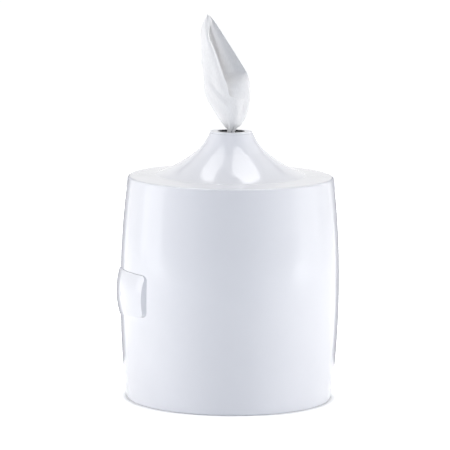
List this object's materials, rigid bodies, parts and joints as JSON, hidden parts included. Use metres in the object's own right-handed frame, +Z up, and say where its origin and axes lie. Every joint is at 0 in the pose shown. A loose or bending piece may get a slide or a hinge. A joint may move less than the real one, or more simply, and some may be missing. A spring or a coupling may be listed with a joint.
{
  "type": "wipes dispenser",
  "caption": "Wall-mounted barrel dispenser for pull-up wet wipes, with a hinged front cover, a push latch at the side, a bell-shaped lid with a slit rubber mouth, and a centre-pull roll inside.",
  "frame": {"origin": "centre of the four wall holes, on the face that lies on the wall", "axes": "+Z up along the barrel, +Y into the wall, +X to the viewer's right seen from the front"},
  "size_m": [0.2807, 0.2759, 0.4837],
  "materials": {
    "shell_plastic": "glossy white moulded ABS",
    "collar_plastic": "satin pale grey moulded ring",
    "mouth_rubber": "matt black slit rubber",
    "inner_plastic": "matt pale grey moulding",
    "steel": "plain brushed steel",
    "bag_film": "milky film",
    "roll_fabric": "wound nonwoven sheets",
    "wipe_fabric": "soft white nonwoven sheet"
  },
  "bodies": {
    "back": {"back_shell": "shell_plastic", "nozzle_collar": "collar_plastic", "nozzle_diaphragm": "mouth_rubber", "nozzle_retainer": "inner_plastic", "base_plate": "inner_plastic", "base_plate_screws": "steel", "refill_bag": "bag_film", "wipes_roll": "roll_fabric", "catch_plate": "steel", "catch_plate_screws": "steel", "lower_hinge_pin": "steel", "upper_hinge_pin": "steel"},
    "cover": {"front_cover": "shell_plastic", "latch_bracket": "inner_plastic", "latch_bracket_screws": "steel", "latch_spring": "steel"},
    "latch": {"latch_pad": "shell_plastic", "latch_hook": "steel", "latch_hook_screws": "steel"},
    "pulled_wipe": {"wipe": "wipe_fabric", "wipe_tail": "wipe_fabric"}
  },
  "joints": [
    {"name": "cover_swing", "type": "hinge", "parent": "back", "child": "cover", "pos_m": [0.1315, -0.122, 0], "axis": [0, 0, 1], "range_deg": [0, 120]},
    {"name": "latch_press", "type": "slide", "parent": "cover", "child": "latch", "axis": [1, 0, 0], "range_m": [0, 0.004], "stiffness_N_per_m": 400, "springref_m": -0.004, "deforming": ["latch_spring"]},
    {"name": "wipe_pull", "type": "slide", "parent": "back", "child": "pulled_wipe", "axis": [0, 0, 1], "range_m": [0, 0.15]}
  ]
}
